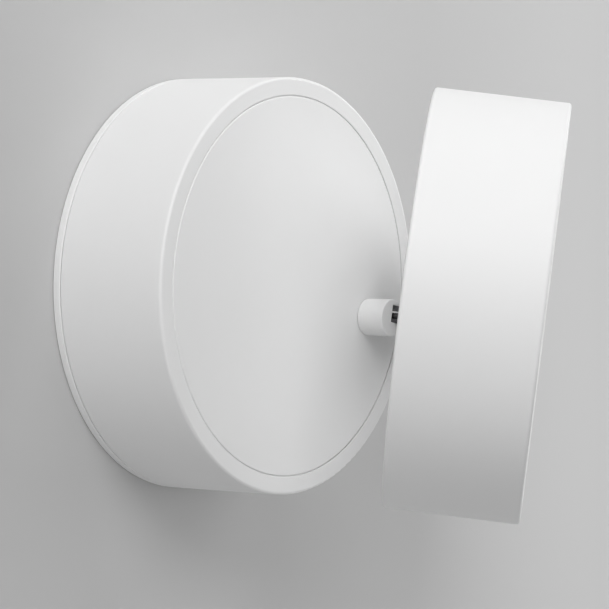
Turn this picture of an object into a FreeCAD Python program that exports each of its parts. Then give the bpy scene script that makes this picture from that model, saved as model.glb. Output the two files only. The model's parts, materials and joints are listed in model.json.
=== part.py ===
import FreeCAD, Part
import math
import os

# A wall spotlight: a drum on the wall, and an equal drum as the lamp head on a short eccentric pivot.
# The wall is the plane Y = 0, the light faces -Y, +Z is up, and the origin is the wall plate's centre.
# Every piece is drawn with +Z as its own outward axis and is then put into its frame.

V = FreeCAD.Vector

# ---------------------------------------------------------------- driving dimensions (mm, degrees)

# The two drums
drum_radius = 55.0
drum_depth = 35.6
side_wall = 1.8
drum_edge_round = 0.8
small_edge_round = 0.15
rim_width = 5.0
disc_gap = 0.3
ledge_width = 3.4
ledge_thickness = 1.8

# The pose in the photograph
swivel_at_rest = 2.5
tilt_at_rest = 32.8

# The pivot: how far the stub stands inside the disc's ledge, and where the hinge lies in the stub
pivot_inset = 11.2
pivot_angle = -15.3
stub_radius = 5.0
stub_length = 8.2
stub_edge_round = 0.35
shoulder_gap = 0.15
shank_radius = 3.4
shank_length = 12.0
shank_bore_radius = 2.4
shank_flat = 2.9
hinge_height = 5.0
hinge_shift_out = 1.4
hinge_shift_up = 1.2
head_back_height = 7.3
slot_width = 4.8
slot_corner = 0.2
knuckle_half_width = 1.8
knuckle_leg = 1.0
knuckle_side_gap = 0.1
knuckle_collar_radius = 3.4
knuckle_collar_start = 5.1
knuckle_shank_radius = 2.95
knuckle_shank_length = 8.4
knuckle_bore_radius = 1.4
pin_radius = 0.9
pin_end_recess = 0.2
running_gap = 0.05
pin_gap = 0.03

# The swivel's bush, stop and clamp
bush_wall = 1.05
bush_flange_radius = 7.5
bush_flange = 1.2
washer_play = 0.1
stop_washer_radius = 7.0
stop_washer_thickness = 1.0
stop_lug_width = 1.8
stop_distance = 9.0
stop_pin_radius = 1.2
stop_pin_length = 4.0
spring_washer_radius = 6.4
spring_washer_height = 1.0
spring_washer_thickness = 0.5
lock_nut_width = 10.0
lock_nut_height = 4.6

# The wall plate
plate_edge = 2.2
plate_thickness = 2.5
plate_step = 0.8
spigot_clearance = 0.2
spigot_wall = 2.6
spigot_height = 6.0
plate_edge_round = 0.3
wall_slot_spacing = 60.0
wall_slot_length = 12.0
wall_slot_width = 4.5
lock_height = 5.5
lock_angles = (60.0, -60.0)
catch_reach = 1.0
catch_height = 1.6
catch_half_angle = 7.0

# The cable grommet
cable_radius = 4.0
grommet_neck_radius = 9.0
grommet_flange_radius = 12.0
grommet_recess = 1.0
grommet_flange = 1.8
grommet_height = 8.0
grommet_lip = (3.0, 1.3)

# Screws: thread radius, head radius, head height
small_screw = (1.45, 2.7, 1.8)
earth_screw_size = (1.95, 3.8, 2.6)
clamp_screw_radius = 1.6
grub_radius = 1.45
grub_socket = (1.5, 1.6)
thread_clearance = 0.05
hole_clearance = 0.25
tip_margin = 0.3

# How far a cut runs past the faces that it opens, and how far fused shapes reach into each other
past = 1.0
into = 0.5

# The front disc
disc_thickness = 2.0
disc_edge_round = 0.3
disc_stud_radius = 1.5
disc_stud_inset = 1.1
disc_stud_angles = (60.0, 180.0, 300.0)
disc_stud_length = 6.4
disc_ear_reach = 4.8
disc_ear_half_angle = 6.0
disc_washer_radius = 3.4
disc_washer_thickness = 0.5
disc_nut_width = 5.5
disc_nut_height = 2.4

# The mains terminal block
terminal_size = (30.0, 17.0, 13.0)
terminal_centre_y = 27.0
terminal_pitch = 9.0
terminal_clamp_size = (5.0, 14.0, 6.0)
terminal_clamp_height = 3.0
terminal_wire_radius = 1.7
terminal_screw_offset = 4.4
terminal_screw_recess = 3.0
terminal_edge_round = 0.6
clamp_screw_recess = 1.5
clamp_screw_slot = (0.7, 0.9)

# The earth connection
earth_place = (31.0, 22.0)
earth_washer_radius = 4.5
earth_washer_thickness = 0.8
earth_lug_radius = 4.0
earth_lug_thickness = 0.8
lug_tab_width = 3.0
lug_barrel_wall = 0.5
lug_barrel_length = 4.0
lug_barrel_start = 5.0

# The LED driver
driver_size = (50.0, 22.0, 17.0)
driver_side_gap = 10.4
driver_wall = 1.5
driver_cover_thickness = 2.0
driver_cover_lip = 1.5
driver_case_round = 1.2
driver_cover_round = 0.8
driver_ear_length = 6.0
driver_ear_width = 10.0
driver_ear_thickness = 2.0
driver_board_thickness = 1.6
driver_board_height = 2.6
board_post = (1.2, 2.5)
transformer_size = (15.0, 13.0, 9.6)
transformer_x = -4.0
transformer_yoke = (2.5, 2.0)
coil_gap = 0.3
coil_overhang = 1.2
coil_round = 1.2
capacitor_radius = 3.9
capacitor_height = 10.0
capacitor_round = 0.5
capacitor_inset = 11.0

# Wires
wire_radius = 0.9
wire_bend = 3.0
wire_entry = 0.3
wire_inset = 0.3
wire_tail = 2.0
sleeve_end = 0.5
sleeve_gap = 0.1
live_wire_y = 14.0
neutral_wire_y = 9.0
live_entry_inset = 4.0
neutral_entry_inset = 10.0
lamp_entry = (3.0, 3.0)
earth_wire_reach = 6.0

# Inside the head
head_back_wall = 2.0
lens_thickness = 2.4
knuckle_washer_radius = 6.0
knuckle_washer_thickness = 0.8
knuckle_nut_width = 10.0
knuckle_nut_height = 4.5
boss_radius = 3.5
boss_height = 10.0
boss_board_gap = 3.5
boss_angles = (60.0, 180.0, 300.0)
boss_thread_depth = 8.0
board_thread_depth = 5.0
sink_rim = 5.5
sink_plate = 3.0
sink_fin_count = 9
sink_fin_pitch = 7.0
sink_fin_thickness = 1.4
sink_fin_boss_gap = 1.0
sink_fin_clearance = 2.0
sink_notch_radius = 8.5
pad_thickness = 0.3
board_wire_gap = 3.8
board_thickness = 1.6
board_screw_inset = 9.0
board_screw_angles = (60.0, 180.0, 300.0)
chip_size = (2.8, 3.5, 0.7)
chip_ring_insets = (23.0, 15.0, 4.0)
chip_pitch = 9.4
connector_size = (7.0, 6.0, 4.0)
connector_inset = 7.2
connector_mouth = 2.0
connector_wire = 1.5
head_wire_height = 19.0
reflector_wall = 1.0
reflector_floor_lap = 1.0
reflector_gap = 0.4
reflector_foot_inset = 1.0
reflector_top_inset = 2.3
reflector_notch = (7.0, 4.4)
snap_angles = (30.0, 150.0, 270.0)
snap_half_angle = 4.0
snap_thickness = 1.1
snap_gap = 0.2
snap_barb = 0.8
snap_barb_height = 1.4

# ---------------------------------------------------------------- sizes that follow from these

inner_radius = drum_radius - side_wall
disc_radius = drum_radius - rim_width
ledge_inner_radius = disc_radius - ledge_width
pivot_distance = ledge_inner_radius - pivot_inset
disc_stud_distance = ledge_inner_radius - disc_stud_inset
disc_ear_inner_radius = ledge_inner_radius - disc_ear_reach
reflector_top_radius = ledge_inner_radius - reflector_top_inset
recess_radius = disc_radius + disc_gap
disc_back = drum_depth - disc_thickness
ledge_back = disc_back - ledge_thickness
lens_seat = drum_depth - lens_thickness
lens_ledge_back = lens_seat - ledge_thickness
spigot_outer = inner_radius - spigot_clearance
spigot_inner = spigot_outer - spigot_wall
spigot_top = plate_thickness + spigot_height
driver_centre_y = driver_side_gap + driver_size[1] / 2 - spigot_inner
slot_floor = hinge_height - knuckle_half_width - shoulder_gap
slot_start = hinge_shift_out - knuckle_half_width - knuckle_side_gap
hinge_to_head_centre = pivot_distance + hinge_shift_out
board_radius = hinge_to_head_centre - board_wire_gap
board_screw_distance = board_radius - board_screw_inset
boss_distance = board_radius + boss_board_gap
sink_radius = boss_distance + sink_rim
sink_fin_radius = boss_distance - boss_radius - sink_fin_boss_gap
reflector_foot_radius = sink_radius - reflector_foot_inset
connector_x = board_radius - connector_inset
reflector_floor_radius = board_radius - reflector_floor_lap
sink_back = head_back_wall + boss_height
sink_front = sink_back + sink_plate
board_back = sink_front + pad_thickness
board_front = board_back + board_thickness
wire_x = hinge_shift_out - wire_inset
wire_y = hinge_shift_up - wire_inset
terminal_low = plate_thickness + terminal_clamp_height
terminal_middle = terminal_low + terminal_clamp_size[2] / 2
terminal_top = plate_thickness + terminal_size[2]
earth_lug_low = plate_thickness + earth_washer_thickness
driver_board_top = plate_thickness + driver_board_height + driver_board_thickness
capacitor_x = driver_size[0] / 2 - capacitor_inset
live_entry_x = live_entry_inset - driver_size[0] / 2
neutral_entry_x = neutral_entry_inset - driver_size[0] / 2


# ---------------------------------------------------------------- frames

def frame(x, y, z, axis, angle):
    return FreeCAD.Placement(V(x, y, z), FreeCAD.Rotation(axis, angle))


OUT = V(0, 0, 1)
pivot_x = pivot_distance * math.cos(math.radians(pivot_angle))
pivot_y = pivot_distance * math.sin(math.radians(pivot_angle))
base_frame = frame(0, 0, 0, V(1, 0, 0), 90)
pivot_in_base = frame(pivot_x, pivot_y, drum_depth, OUT, pivot_angle)
swivel_in_base = pivot_in_base.multiply(frame(0, 0, 0, OUT, swivel_at_rest))
pivot_frame = base_frame.multiply(pivot_in_base)
swivel_frame = base_frame.multiply(swivel_in_base)
hinge_in_swivel = frame(hinge_shift_out, hinge_shift_up, hinge_height, V(0, 1, 0), tilt_at_rest)
hinge_frame = swivel_frame.multiply(hinge_in_swivel)
head_frame = hinge_frame.multiply(frame(-hinge_to_head_centre, 0, head_back_height, OUT, 0))


# ---------------------------------------------------------------- drawing helpers

def outline(corners):
    # A closed wire in the XZ plane. A corner is (x, z) or (x, z, rounding radius).
    count = len(corners)
    points = [V(corner[0], 0, corner[1]) for corner in corners]
    starts = []
    ends = []
    arcs = []
    for i, corner in enumerate(corners):
        here = points[i]
        radius = corner[2] if len(corner) > 2 else 0
        if radius == 0:
            starts.append(here)
            ends.append(here)
            arcs.append(None)
            continue
        back = (points[i - 1] - here).normalize()
        on = (points[(i + 1) % count] - here).normalize()
        half = back.getAngle(on) / 2
        reach = radius / math.tan(half)
        middle = (back + on).normalize() * (radius / math.sin(half) - radius)
        starts.append(here + back * reach)
        ends.append(here + on * reach)
        arcs.append(Part.Arc(here + back * reach, here + middle, here + on * reach).toShape())
    edges = []
    for i in range(count):
        if arcs[i]:
            edges.append(arcs[i])
        following = starts[(i + 1) % count]
        if ends[i].distanceToPoint(following) > 1e-6:
            edges.append(Part.makeLine(ends[i], following))
    return Part.Wire(edges)


def turned(corners):
    # A solid of revolution about Z from (radius, height) corners.
    return Part.Face(outline(corners)).revolve(V(0, 0, 0), OUT, 360)


def cylinder(radius, z_low, z_high, x=0, y=0):
    return Part.makeCylinder(radius, z_high - z_low, V(x, y, z_low), OUT)


def tube(inner, outer, z_low, z_high, x=0, y=0):
    return cylinder(outer, z_low, z_high, x, y).cut(cylinder(inner, z_low - past, z_high + past, x, y))


def block(x_low, x_high, y_low, y_high, z_low, z_high):
    return Part.makeBox(x_high - x_low, y_high - y_low, z_high - z_low, V(x_low, y_low, z_low))


def centred_block(size, x, y, z_low):
    return block(x - size[0] / 2, x + size[0] / 2, y - size[1] / 2, y + size[1] / 2, z_low, z_low + size[2])


def prism(corners, z_low, z_high):
    # A rounded outline in the XY plane, raised from z_low to z_high.
    face = Part.Face(outline(corners))
    face.rotate(V(0, 0, 0), V(1, 0, 0), -90)
    face.translate(V(0, 0, z_low))
    return face.extrude(V(0, 0, z_high - z_low))


def sector(inner, outer, z_low, z_high, angle, half_angle):
    # Part of a ring, centred on an angle.
    start = Part.Face(outline([(inner, z_low), (outer, z_low), (outer, z_high), (inner, z_high)]))
    start.rotate(V(0, 0, 0), OUT, angle - half_angle)
    return start.revolve(V(0, 0, 0), OUT, 2 * half_angle)


def upright_edges(shape):
    return [edge for edge in shape.Edges if edge.BoundBox.ZLength > shape.BoundBox.ZLength - 0.1]


def around(distance, angle):
    return distance * math.cos(math.radians(angle)), distance * math.sin(math.radians(angle))


def radial_cylinder(radius, start, end, height, angle):
    x, y = around(1, angle)
    return Part.makeCylinder(radius, end - start, V(x * start, y * start, height), V(x, y, 0))


def hexagon(width, z_low, z_high, x=0, y=0):
    corner = width / math.sqrt(3)
    places = [around(corner, 60 * i) for i in range(7)]
    points = [V(x + across, y + up, z_low) for across, up in places]
    return Part.Face(Part.makePolygon(points)).extrude(V(0, 0, z_high - z_low))


def nut(width, height, bore, z_low, x=0, y=0):
    # A hexagon nut whose corners are turned off at both faces.
    corner = width / math.sqrt(3)
    chamfer = corner - width / 2
    z_high = z_low + height
    cone = turned([(0, z_low), (width / 2, z_low), (corner, z_low + chamfer / 2),
                   (corner, z_high - chamfer / 2), (width / 2, z_high), (0, z_high)])
    cone.translate(V(x, y, 0))
    body = hexagon(width, z_low, z_high, x, y).common(cone)
    return body.cut(cylinder(bore, z_low - past, z_high + past, x, y))


def screw(size, seat, tip, x=0, y=0):
    # A cross-recessed pan head screw, whose head sits on seat and whose thread ends at tip.
    thread, head, height = size
    top = seat + height
    chamfer = thread / 5
    body = turned([(0, tip), (thread - chamfer, tip), (thread, tip + chamfer), (thread, seat), (head, seat),
                   (head, top, height * 0.6), (0, top)])
    long, wide, deep = head * 1.1, head * 0.28, height * 0.5
    body = body.cut([centred_block((long, wide, deep + past), 0, 0, top - deep),
                     centred_block((wide, long, deep + past), 0, 0, top - deep)])
    body.translate(V(x, y, 0))
    return body


def wire_path(points, bend):
    # Straight runs joined by tangent arcs.
    edges = []
    last = points[0]
    for i in range(1, len(points) - 1):
        back = (points[i - 1] - points[i]).normalize()
        on = (points[i + 1] - points[i]).normalize()
        half = back.getAngle(on) / 2
        reach = bend / math.tan(half)
        middle = points[i] + (back + on).normalize() * (bend / math.sin(half) - bend)
        start = points[i] + back * reach
        end = points[i] + on * reach
        edges.append(Part.makeLine(last, start))
        edges.append(Part.Arc(start, middle, end).toShape())
        last = end
    edges.append(Part.makeLine(last, points[-1]))
    return Part.Wire(edges)


def wire(points, bend=wire_bend, radius=wire_radius):
    path = wire_path(points, bend)
    ring = Part.Wire(Part.makeCircle(radius, points[0], points[1] - points[0]))
    return path.makePipeShell([ring], True, False)


# ---------------------------------------------------------------- the base on the wall

def wall_plate():
    step_radius = drum_radius - plate_step
    plate = turned([(0, 0), (drum_radius, 0, plate_edge_round), (drum_radius, plate_edge, plate_edge_round),
                    (step_radius, plate_edge), (step_radius, plate_thickness),
                    (spigot_outer, plate_thickness), (spigot_outer, spigot_top, plate_edge_round),
                    (spigot_inner, spigot_top, plate_edge_round), (spigot_inner, plate_thickness),
                    (0, plate_thickness)])
    catch_low = lock_height - catch_height / 2
    catch = sector(spigot_outer - into, spigot_outer + catch_reach, catch_low, catch_low + catch_height,
                   180, catch_half_angle)
    plate = plate.fuse(catch)
    top = plate_thickness + past
    cuts = [cylinder(grommet_neck_radius, -past, top)]
    cuts.append(cylinder(grommet_flange_radius + hole_clearance, -past, grommet_recess))
    straight = (wall_slot_length - wall_slot_width) / 2
    for side in (-1, 1):
        x = side * wall_slot_spacing / 2
        cuts.append(centred_block((2 * straight, wall_slot_width, top + past), x, 0, -past))
        for end in (-1, 1):
            cuts.append(cylinder(wall_slot_width / 2, -past, top, x + end * straight))
    tapped = small_screw[0] + thread_clearance
    for x, y in terminal_fixings() + driver_fixings():
        cuts.append(cylinder(tapped, -past, top, x, y))
    cuts.append(cylinder(earth_screw_size[0] + thread_clearance, -past, top, *earth_place))
    tapped = grub_radius + thread_clearance
    for angle in lock_angles:
        cuts.append(radial_cylinder(tapped, spigot_inner - past, spigot_outer + past, lock_height, angle))
    return plate.cut(cuts)


def cable_grommet():
    neck = grommet_neck_radius - thread_clearance
    flange_top = plate_thickness + grommet_flange
    lip_foot, lip_wall = grommet_lip
    return turned([(cable_radius, 0), (grommet_flange_radius, 0), (grommet_flange_radius, grommet_recess),
                   (neck, grommet_recess), (neck, plate_thickness),
                   (grommet_flange_radius, plate_thickness),
                   (grommet_flange_radius, flange_top, grommet_flange / 2),
                   (cable_radius + lip_foot, flange_top),
                   (cable_radius + lip_wall, grommet_height, lip_wall / 3), (cable_radius, grommet_height)])


def base_housing():
    shell = turned([(drum_radius, plate_thickness, plate_edge_round),
                    (drum_radius, drum_depth, drum_edge_round),
                    (recess_radius, drum_depth, small_edge_round), (recess_radius, disc_back),
                    (ledge_inner_radius, disc_back), (ledge_inner_radius, ledge_back),
                    (inner_radius, ledge_back, side_wall), (inner_radius, plate_thickness)])
    for angle in disc_stud_angles:
        shell = shell.fuse(sector(disc_ear_inner_radius, ledge_inner_radius + into, ledge_back, disc_back,
                                  angle, disc_ear_half_angle))
    cuts = []
    for angle in disc_stud_angles:
        x, y = around(disc_stud_distance, angle)
        cuts.append(cylinder(disc_stud_radius + hole_clearance, ledge_back - past, disc_back + past, x, y))
    hole = grub_radius + hole_clearance
    for angle in lock_angles:
        cuts.append(radial_cylinder(hole, inner_radius - past, drum_radius + past, lock_height, angle))
    pocket_low = lock_height - catch_height / 2 - spigot_clearance
    pocket_high = lock_height + catch_height / 2 + spigot_clearance
    pocket_end = spigot_outer + catch_reach + spigot_clearance
    cuts.append(sector(inner_radius - past, pocket_end, pocket_low, pocket_high, 180, catch_half_angle + 1))
    return shell.cut(cuts)


def housing_grub_screws():
    screws = []
    start = spigot_inner - tip_margin
    end = drum_radius - tip_margin
    width, depth = grub_socket
    for angle in lock_angles:
        body = radial_cylinder(grub_radius, start, end, lock_height, angle)
        socket = hexagon(width, 0, depth + past)
        socket.rotate(V(0, 0, 0), V(0, 1, 0), 90)
        socket.translate(V(end - depth, 0, lock_height))
        socket.rotate(V(0, 0, 0), OUT, angle)
        screws.append(body.cut(socket))
    return Part.makeCompound(screws)


def face_disc():
    disc = turned([(0, disc_back), (disc_radius, disc_back), (disc_radius, drum_depth, disc_edge_round),
                   (0, drum_depth)])
    for angle in disc_stud_angles:
        x, y = around(disc_stud_distance, angle)
        disc = disc.fuse(cylinder(disc_stud_radius, disc_back - disc_stud_length, disc_back + into, x, y))
    hole = shank_radius + running_gap + bush_wall + thread_clearance
    stop_x, stop_y = stop_pin_place()
    pin_seat = disc_back + disc_thickness / 2
    return disc.cut([cylinder(hole, disc_back - past, drum_depth + past, pivot_x, pivot_y),
                     cylinder(stop_pin_radius, disc_back - past, pin_seat, stop_x, stop_y)])


def face_disc_washers():
    low = ledge_back - disc_washer_thickness
    bore = disc_stud_radius + thread_clearance
    places = [around(disc_stud_distance, angle) for angle in disc_stud_angles]
    return Part.makeCompound([tube(bore, disc_washer_radius, low, ledge_back, x, y) for x, y in places])


def face_disc_nuts():
    low = ledge_back - disc_washer_thickness - disc_nut_height
    nuts = [nut(disc_nut_width, disc_nut_height, disc_stud_radius + thread_clearance, low,
                *around(disc_stud_distance, angle)) for angle in disc_stud_angles]
    return Part.makeCompound(nuts)


# ---------------------------------------------------------------- mains and driver

def terminal_fixings():
    return [(side * terminal_pitch / 2, terminal_centre_y) for side in (-1, 1)]


def terminal_poles():
    return [-terminal_pitch, 0, terminal_pitch]


def terminal_block():
    top = terminal_top
    body = centred_block(terminal_size, 0, terminal_centre_y, plate_thickness)
    rim = [edge for edge in body.Edges if edge.BoundBox.ZMin > top - 0.1]
    body = body.makeFillet(terminal_edge_round, rim)
    cuts = []
    width, length, height = terminal_clamp_size
    tunnel = (width + 2 * thread_clearance, terminal_size[1] + 2 * past, height + 2 * thread_clearance)
    hole = clamp_screw_radius + hole_clearance
    for x in terminal_poles():
        cuts.append(centred_block(tunnel, x, terminal_centre_y, terminal_low - thread_clearance))
        for y in clamp_screw_places():
            cuts.append(cylinder(hole, terminal_low + height, top + past, x, y))
    thread, head, head_height = small_screw
    for x, y in terminal_fixings():
        cuts.append(cylinder(thread + thread_clearance, plate_thickness - past, top + past, x, y))
        cuts.append(cylinder(head + thread_clearance, top - terminal_screw_recess, top + past, x, y))
    return body.cut(cuts)


def clamp_screw_places():
    return [terminal_centre_y + side * terminal_screw_offset for side in (-1, 1)]


def terminal_clamps():
    clamps = []
    length = terminal_clamp_size[1] + 2 * past
    tapped = clamp_screw_radius + thread_clearance
    for x in terminal_poles():
        clamp = centred_block(terminal_clamp_size, x, terminal_centre_y, terminal_low)
        start = V(x, terminal_centre_y - length / 2, terminal_middle)
        cuts = [Part.makeCylinder(terminal_wire_radius, length, start, V(0, 1, 0))]
        for y in clamp_screw_places():
            cuts.append(cylinder(tapped, terminal_middle, terminal_top, x, y))
        clamps.append(clamp.cut(cuts))
    return Part.makeCompound(clamps)


def terminal_clamp_screws():
    screws = []
    width, depth = clamp_screw_slot
    low = terminal_middle + wire_radius + running_gap
    top = terminal_top - clamp_screw_recess
    for x in terminal_poles():
        for y in clamp_screw_places():
            slot = centred_block((3 * clamp_screw_radius, width, depth + past), x, y, top - depth)
            screws.append(cylinder(clamp_screw_radius, low, top, x, y).cut(slot))
    return Part.makeCompound(screws)


def terminal_fixing_screws():
    seat = terminal_top - terminal_screw_recess
    return Part.makeCompound([screw(small_screw, seat, tip_margin, x, y) for x, y in terminal_fixings()])


def earth_washer():
    return tube(earth_screw_size[0] + hole_clearance, earth_washer_radius, plate_thickness, earth_lug_low,
                *earth_place)


def earth_lug():
    # A flat ring under the screw head, with a crimp barrel towards the terminal block.
    low, high = earth_lug_low, earth_lug_low + earth_lug_thickness
    x, y = earth_place
    ring = tube(earth_screw_size[0] + hole_clearance, earth_lug_radius, low, high, x, y)
    start = y - earth_lug_radius
    barrel_start = start - lug_barrel_start
    tab = block(x - lug_tab_width / 2, x + lug_tab_width / 2, barrel_start + lug_barrel_length - past,
                start + past, low, high)
    middle = low + wire_radius + lug_barrel_wall
    barrel = Part.makeCylinder(wire_radius + lug_barrel_wall, lug_barrel_length, V(x, barrel_start, middle),
                               V(0, 1, 0))
    bore = Part.makeCylinder(wire_radius + thread_clearance, lug_barrel_length + into + past,
                             V(x, barrel_start - past, middle), V(0, 1, 0))
    return ring.fuse([tab, barrel]).removeSplitter().cut(bore)


def earth_screw():
    seat = earth_lug_low + earth_lug_thickness
    return screw(earth_screw_size, seat, tip_margin, *earth_place)


def driver_fixings():
    reach = driver_size[0] / 2 + driver_ear_length / 2
    return [(side * reach, driver_centre_y) for side in (-1, 1)]


def wire_hole_points():
    # Where wires enter the driver's case: two from the mains and one to the lamp.
    side_y = driver_centre_y + driver_size[1] / 2
    mains = [V(x, side_y, terminal_middle) for x in (live_entry_x, neutral_entry_x)]
    across, up = lamp_entry
    lamp = V(driver_size[0] / 2, driver_centre_y + across, terminal_middle + up)
    return mains, lamp


def driver_case():
    low = plate_thickness
    case = centred_block(driver_size, 0, driver_centre_y, low)
    case = case.makeFillet(driver_case_round, upright_edges(case))
    ear = (driver_ear_length + 2 * into, driver_ear_width, driver_ear_thickness)
    for x, y in driver_fixings():
        case = case.fuse(centred_block(ear, x - math.copysign(into, x), y, low))
    room = (driver_size[0] - 2 * driver_wall, driver_size[1] - 2 * driver_wall, driver_size[2])
    cuts = [centred_block(room, 0, driver_centre_y, low + driver_wall)]
    for x, y in driver_fixings():
        hole = small_screw[0] + hole_clearance
        cuts.append(cylinder(hole, low - past, low + driver_ear_thickness + past, x, y))
    mains, lamp = wire_hole_points()
    hole = wire_radius + thread_clearance
    depth = driver_wall + past
    for point in mains:
        cuts.append(Part.makeCylinder(hole, depth + past, point - V(0, depth, 0), V(0, 1, 0)))
    cuts.append(Part.makeCylinder(hole, depth + past, lamp - V(depth, 0, 0), V(1, 0, 0)))
    return case.cut(cuts)


def driver_cover():
    low = plate_thickness + driver_size[2]
    cover = centred_block((driver_size[0], driver_size[1], driver_cover_thickness), 0, driver_centre_y, low)
    upper = [edge for edge in cover.Edges if edge.BoundBox.ZMax > low + 0.1]
    cover = cover.makeFillet(driver_cover_round, upper)
    shrink = 2 * (driver_wall + thread_clearance)
    lip = (driver_size[0] - shrink, driver_size[1] - shrink, driver_cover_lip + into)
    inside = (lip[0] - 2 * driver_wall, lip[1] - 2 * driver_wall, driver_cover_lip + past)
    rim = centred_block(lip, 0, driver_centre_y, low - driver_cover_lip)
    rim = rim.cut(centred_block(inside, 0, driver_centre_y, low - driver_cover_lip - past))
    return cover.fuse(rim).removeSplitter()


def driver_board():
    # The board stands on four short posts that belong to it.
    shrink = 2 * (driver_wall + thread_clearance)
    size = (driver_size[0] - shrink, driver_size[1] - shrink, driver_board_thickness)
    low = plate_thickness + driver_board_height
    board = centred_block(size, 0, driver_centre_y, low)
    radius, inset = board_post
    for side in (-1, 1):
        for end in (-1, 1):
            x = side * (size[0] / 2 - inset)
            y = driver_centre_y + end * (size[1] / 2 - inset)
            board = board.fuse(cylinder(radius, plate_thickness + driver_wall, low + into, x, y))
    return board


def driver_transformer():
    # A ferrite core with a wound bobbin through it.
    low = driver_board_top
    leg, yoke = transformer_yoke
    width, length, height = transformer_size
    core = centred_block(transformer_size, transformer_x, driver_centre_y, low)
    window = (width - 2 * leg, length + 2 * past, height - 2 * yoke)
    core = core.cut(centred_block(window, transformer_x, driver_centre_y, low + yoke))
    winding = (window[0] - 2 * coil_gap, length + 2 * coil_overhang, window[2])
    coil = centred_block(winding, transformer_x, driver_centre_y, low + yoke)
    coil = coil.makeFillet(coil_round, upright_edges(coil))
    return core.fuse(coil)


def driver_capacitor():
    low = driver_board_top
    high = low + capacitor_height
    can = turned([(0, low), (capacitor_radius, low, capacitor_round),
                  (capacitor_radius, high, capacitor_round), (0, high)])
    return can.translated(V(capacitor_x, driver_centre_y, 0))


def driver_screws():
    seat = plate_thickness + driver_ear_thickness
    return Part.makeCompound([screw(small_screw, seat, tip_margin, x, y) for x, y in driver_fixings()])


def mains_wire(pole_x, entry, across):
    # From a pole of the terminal block, round the cable grommet and into the driver's case.
    start = terminal_centre_y - terminal_size[1] / 2 + terminal_clamp_size[1] / 4
    return wire([V(pole_x, start, entry.z), V(pole_x, across, entry.z), V(entry.x, across, entry.z),
                 V(entry.x, entry.y - driver_wall - wire_entry, entry.z)])


def live_wire():
    return mains_wire(-terminal_pitch, wire_hole_points()[0][0], live_wire_y)


def neutral_wire():
    return mains_wire(0, wire_hole_points()[0][1], neutral_wire_y)


def earth_wire():
    x, y = earth_place
    low = earth_lug_low + wire_radius + lug_barrel_wall
    start = terminal_centre_y - terminal_size[1] / 2 + terminal_clamp_size[1] / 4
    barrel = y - earth_lug_radius - lug_barrel_start
    turn = barrel - earth_wire_reach
    return wire([V(terminal_pitch, start, terminal_middle), V(terminal_pitch, turn, terminal_middle),
                 V(x, turn, low), V(x, barrel + lug_barrel_length - into, low)])


def supply_wire():
    # From the driver to just under the pivot's hollow shank, where the wire turns with the pivot.
    mains, lamp = wire_hole_points()
    under = swivel_in_base.multVec(V(wire_x, wire_y, -shank_length - wire_tail - wire_entry))
    return wire([lamp - V(driver_wall + wire_entry, 0, 0), V(under.x, lamp.y, lamp.z),
                 V(under.x, under.y, lamp.z), under])


# ---------------------------------------------------------------- the swivel at the front disc

def stop_pin_place():
    point = pivot_in_base.multVec(V(stop_distance, 0, 0))
    return point.x, point.y


def swivel_bush():
    bore = shank_radius + running_gap
    low = -disc_thickness - bush_flange
    outer = bore + bush_wall
    return turned([(bore, low), (bush_flange_radius, low, bush_flange / 4),
                   (bush_flange_radius, -disc_thickness), (outer, -disc_thickness),
                   (outer, -washer_play), (bore, -washer_play)])


def stop_pin():
    low = -disc_thickness - stop_pin_length
    return cylinder(stop_pin_radius - pin_gap, low, -disc_thickness / 2, stop_distance)


def shank_stack():
    # Heights on the shank: the faces of the stop washer, the spring washer and the nut.
    washer_top = -disc_thickness - bush_flange - washer_play
    washer_low = washer_top - stop_washer_thickness
    spring_low = washer_low - spring_washer_height
    return washer_top, washer_low, spring_low


def pivot_stub():
    washer_top = shank_stack()[0]
    stub = turned([(0, -shank_length), (shank_radius, -shank_length, small_edge_round),
                   (shank_radius, shoulder_gap), (stub_radius, shoulder_gap, small_edge_round),
                   (stub_radius, stub_length, stub_edge_round), (0, stub_length)])
    reach = stub_radius + past
    low = hinge_shift_up - slot_width / 2
    high = hinge_shift_up + slot_width / 2
    corners = [(slot_start, low, slot_corner), (reach, low), (reach, high), (slot_start, high, slot_corner)]
    slot = prism(corners, slot_floor, stub_length + past)
    bore = cylinder(shank_bore_radius, -shank_length - past, slot_floor + shoulder_gap)
    pin_hole = Part.makeCylinder(pin_radius + pin_gap, 2 * reach, V(hinge_shift_out, -reach, hinge_height),
                                 V(0, 1, 0))
    return stub.cut([slot, bore, pin_hole, shank_flat_cut(shank_flat, -shank_length - past, washer_top)])


def shank_flat_cut(distance, low, high):
    # What the flat on the shank takes away, so that the stop washer turns with it.
    side = shank_radius + past
    return block(-side, -distance, -side, side, low, high)


def stop_washer():
    top, low, spring_low = shank_stack()
    ring = cylinder(stop_washer_radius, low, top)
    half = stop_lug_width / 2
    lug = block(-stop_distance - stop_pin_radius, -stop_washer_radius + past, -half, half, low, top)
    ring = ring.fuse(lug).removeSplitter()
    hole = cylinder(shank_radius + thread_clearance, low - past, top + past)
    hole = hole.cut(shank_flat_cut(shank_flat + thread_clearance, low - past, top + past))
    return ring.cut(hole)


def spring_washer():
    low, spring_low = shank_stack()[1:]
    bore = shank_radius + washer_play
    return turned([(bore, low - spring_washer_thickness), (spring_washer_radius, spring_low),
                   (spring_washer_radius, spring_low + spring_washer_thickness), (bore, low)])


def lock_nut():
    low = shank_stack()[2] - lock_nut_height
    return nut(lock_nut_width, lock_nut_height, shank_radius + thread_clearance, low)


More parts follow.
